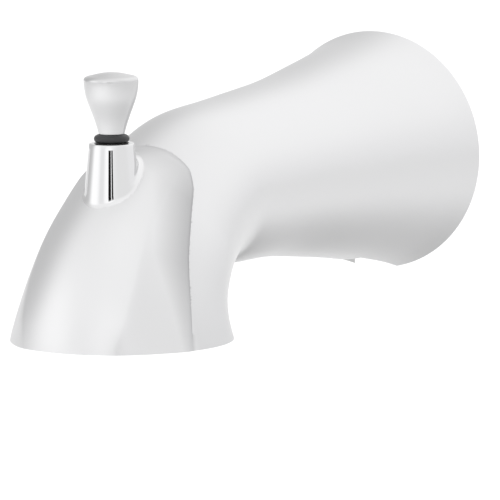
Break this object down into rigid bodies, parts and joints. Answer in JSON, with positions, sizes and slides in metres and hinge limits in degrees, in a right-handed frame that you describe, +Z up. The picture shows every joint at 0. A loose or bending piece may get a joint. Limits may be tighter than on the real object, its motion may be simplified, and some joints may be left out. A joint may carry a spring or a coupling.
{
  "type": "bath spout",
  "caption": "Wall bath spout with a bell flange, a neck that bends down to a hooded round mouth, and a pull-up knob that lifts an inner gate to divert water.",
  "frame": {"origin": "middle of the bell's rim, on the wall and on the pipe's axis", "axes": "+Y into the wall along the pipe, so the spout reaches out along -Y; +Z up; +X to the right seen from the room"},
  "size_m": [0.064, 0.1595, 0.0686],
  "materials": {
    "body_chrome": "soft bright plate",
    "knob_chrome": "polished plate",
    "black_rubber": "moulded",
    "brass": "turned",
    "steel": "plain",
    "white_plastic": "moulded",
    "dark_plastic": "moulded"
  },
  "bodies": {
    "spout": {"spout_body": "body_chrome", "inlet_adapter": "brass", "waterway_tube": "brass", "adapter_snap_ring": "steel", "set_screw": "steel", "housing_clip": "steel", "inlet_seal_rear": "black_rubber", "inlet_seal_front": "black_rubber", "tube_seal": "black_rubber", "housing_seal": "black_rubber", "gate_housing": "white_plastic", "stem_bushing": "dark_plastic"},
    "diverter": {"lift_stem": "steel", "diverter_knob": "knob_chrome", "knob_o_ring": "black_rubber", "diverter_gate": "white_plastic", "gate_washer": "black_rubber", "washer_screw": "steel", "gate_pin": "steel"}
  },
  "joints": [
    {"name": "diverter_lift", "type": "slide", "parent": "spout", "child": "diverter", "axis": [0, 0, 1], "range_m": [0, 0.013]}
  ]
}
